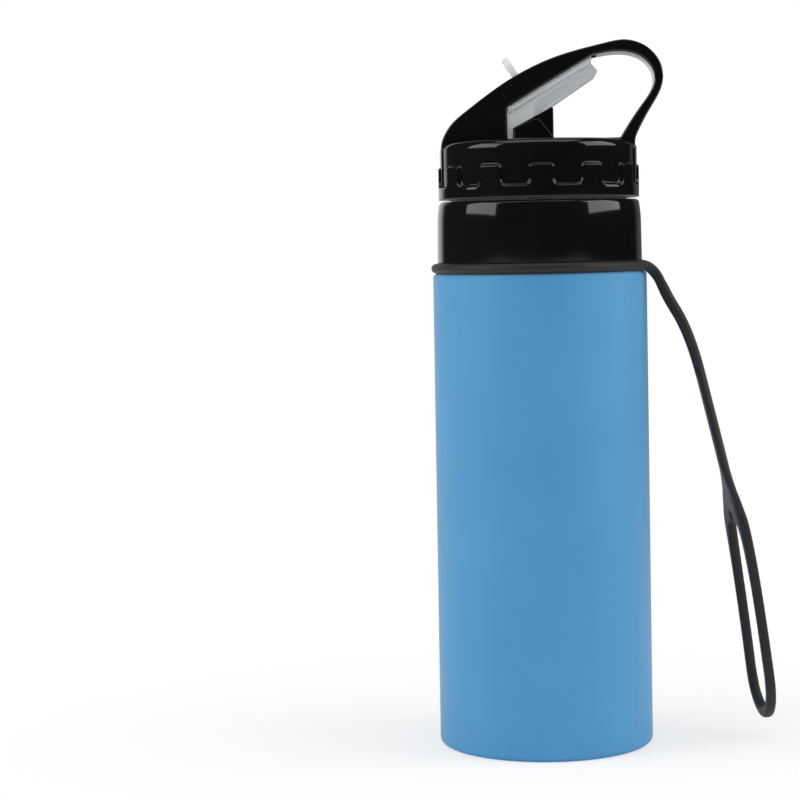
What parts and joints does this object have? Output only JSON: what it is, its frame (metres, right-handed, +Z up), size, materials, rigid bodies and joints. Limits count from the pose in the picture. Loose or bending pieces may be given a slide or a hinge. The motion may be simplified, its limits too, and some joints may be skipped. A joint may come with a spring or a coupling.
{
  "type": "folding water bottle",
  "caption": "Soft silicone bottle that rolls up, with a screw cap, carry handle, flip spout with straw, and a swivelling carry strap.",
  "frame": {"origin": "middle of the flat base", "axes": "+Z up along the bottle, +X towards the point of the shut spout and the strap's side, +Y to the left of the spout"},
  "size_m": [0.1089, 0.0708, 0.2314],
  "materials": {
    "blue_silicone": "satin silicone",
    "gloss_black": "polished",
    "clear_plastic": "clear, polished",
    "clear_rubber": "frosted silicone",
    "white_plastic": "moulded",
    "black_silicone": "matte silicone"
  },
  "bodies": {
    "bottle": {"silicone_body": "blue_silicone", "neck_insert": "white_plastic", "neck_collar": "gloss_black"},
    "gasket": {"cap_gasket": "clear_rubber"},
    "cap": {"cap_shell": "gloss_black", "carry_handle": "gloss_black", "spout_seal": "clear_rubber", "vent_valve": "clear_rubber", "straw": "clear_rubber"},
    "spout": {"spout": "clear_plastic"},
    "strap_ring": {"strap_ring": "black_silicone"},
    "strap_band": {"strap_band": "black_silicone"}
  },
  "joints": [
    {"name": "cap_rise", "type": "slide", "parent": "bottle", "child": "gasket", "axis": [0, 0, 1], "range_m": [0, 0.005]},
    {"name": "cap_turn", "type": "hinge", "parent": "gasket", "child": "cap", "pos_m": [0, 0, 0.1974], "axis": [0, 0, 1], "range_deg": [0, 450]},
    {"name": "spout_flip", "type": "hinge", "parent": "cap", "child": "spout", "pos_m": [-0.001, 0, 0.2019], "axis": [0, -1, 0], "range_deg": [0, 55]},
    {"name": "strap_swivel", "type": "hinge", "parent": "bottle", "child": "strap_ring", "pos_m": [0, 0, 0.1575], "axis": [0, 0, 1], "continuous": true},
    {"name": "strap_swing", "type": "hinge", "parent": "strap_ring", "child": "strap_band", "pos_m": [0.03655, 0, 0.1558], "axis": [0, -1, 0], "range_deg": [-12, 140], "stiffness_Nm_per_rad": 0.3}
  ],
  "couplings": [
    {"joint": "cap_rise", "follows": "cap_turn", "m_per_rad": 0.00063662}
  ]
}
